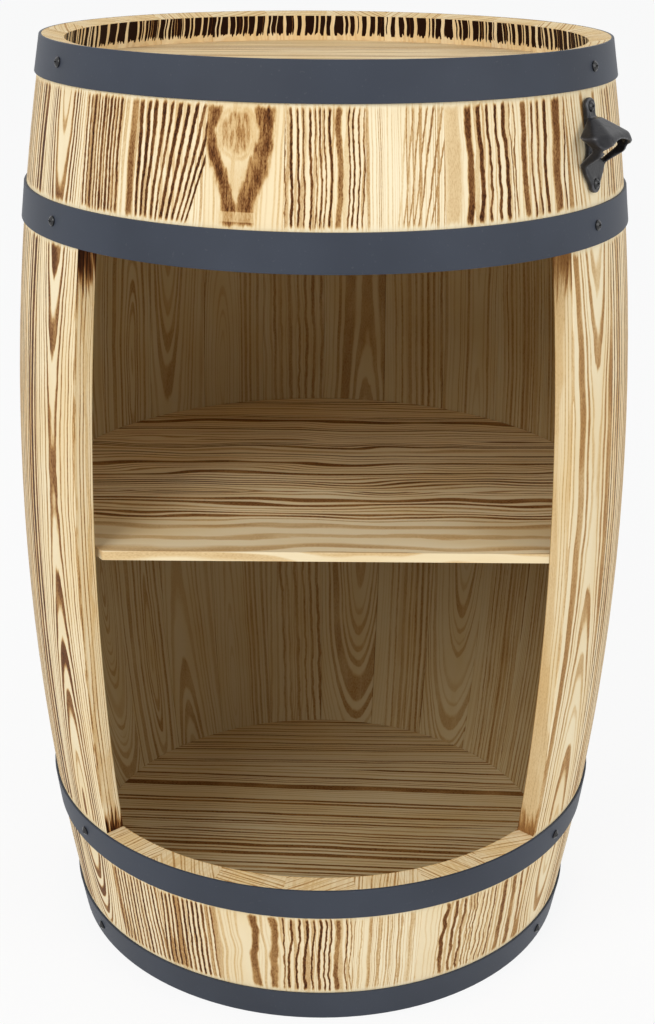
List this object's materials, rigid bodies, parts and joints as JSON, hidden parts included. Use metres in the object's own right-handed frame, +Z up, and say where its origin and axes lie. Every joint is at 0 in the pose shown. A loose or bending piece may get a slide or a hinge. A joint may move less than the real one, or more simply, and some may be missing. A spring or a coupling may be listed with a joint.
{
  "type": "barrel bar cabinet",
  "caption": "Free-standing bar cabinet made like a wooden barrel, with a wide front opening, a shelf halfway up, a recessed top, screwed steel hoops and a bottle opener on its side.",
  "frame": {"origin": "on the floor, in the middle of the overall width and depth, 6.5 mm in front of the barrel's own axis", "axes": "+Z up along the barrel, -Y out through the front opening, +X towards the bottle opener's side"},
  "size_m": [0.533, 0.52, 0.8],
  "materials": {
    "stave_wood": "scorched pine, matt",
    "head_wood": "plain pine, matt",
    "shelf_wood": "scorched pine, matt",
    "hoop_steel": "matt anthracite paint",
    "screw_steel": "black, satin",
    "opener_iron": "black paint on cast iron, satin"
  },
  "bodies": {
    "root": {"full_stave_01": "stave_wood", "full_stave_02": "stave_wood", "full_stave_03": "stave_wood", "full_stave_04": "stave_wood", "full_stave_05": "stave_wood", "full_stave_06": "stave_wood", "full_stave_07": "stave_wood", "full_stave_08": "stave_wood", "full_stave_09": "stave_wood", "full_stave_10": "stave_wood", "full_stave_11": "stave_wood", "full_stave_12": "stave_wood", "full_stave_13": "stave_wood", "full_stave_14": "stave_wood", "full_stave_15": "stave_wood", "full_stave_16": "stave_wood", "full_stave_17": "stave_wood", "full_stave_18": "stave_wood", "upper_stave_1": "stave_wood", "upper_stave_2": "stave_wood", "upper_stave_3": "stave_wood", "upper_stave_4": "stave_wood", "upper_stave_5": "stave_wood", "upper_stave_6": "stave_wood", "upper_stave_7": "stave_wood", "lower_stave_1": "stave_wood", "lower_stave_2": "stave_wood", "lower_stave_3": "stave_wood", "lower_stave_4": "stave_wood", "lower_stave_5": "stave_wood", "lower_stave_6": "stave_wood", "lower_stave_7": "stave_wood", "top_head_board_1": "head_wood", "top_head_board_2": "head_wood", "top_head_board_3": "head_wood", "top_head_board_4": "head_wood", "bottom_head_board_1": "head_wood", "bottom_head_board_2": "head_wood", "bottom_head_board_3": "head_wood", "bottom_head_board_4": "head_wood", "shelf_board_1": "shelf_wood", "shelf_board_2": "shelf_wood", "shelf_board_3": "shelf_wood", "foot_hoop": "hoop_steel", "sill_hoop": "hoop_steel", "lintel_hoop": "hoop_steel", "rim_hoop": "hoop_steel", "foot_hoop_screws": "screw_steel", "sill_hoop_screws": "screw_steel", "lintel_hoop_screws": "screw_steel", "rim_hoop_screws": "screw_steel", "bottle_opener_screws": "screw_steel", "bottle_opener": "opener_iron"}
  },
  "joints": []
}
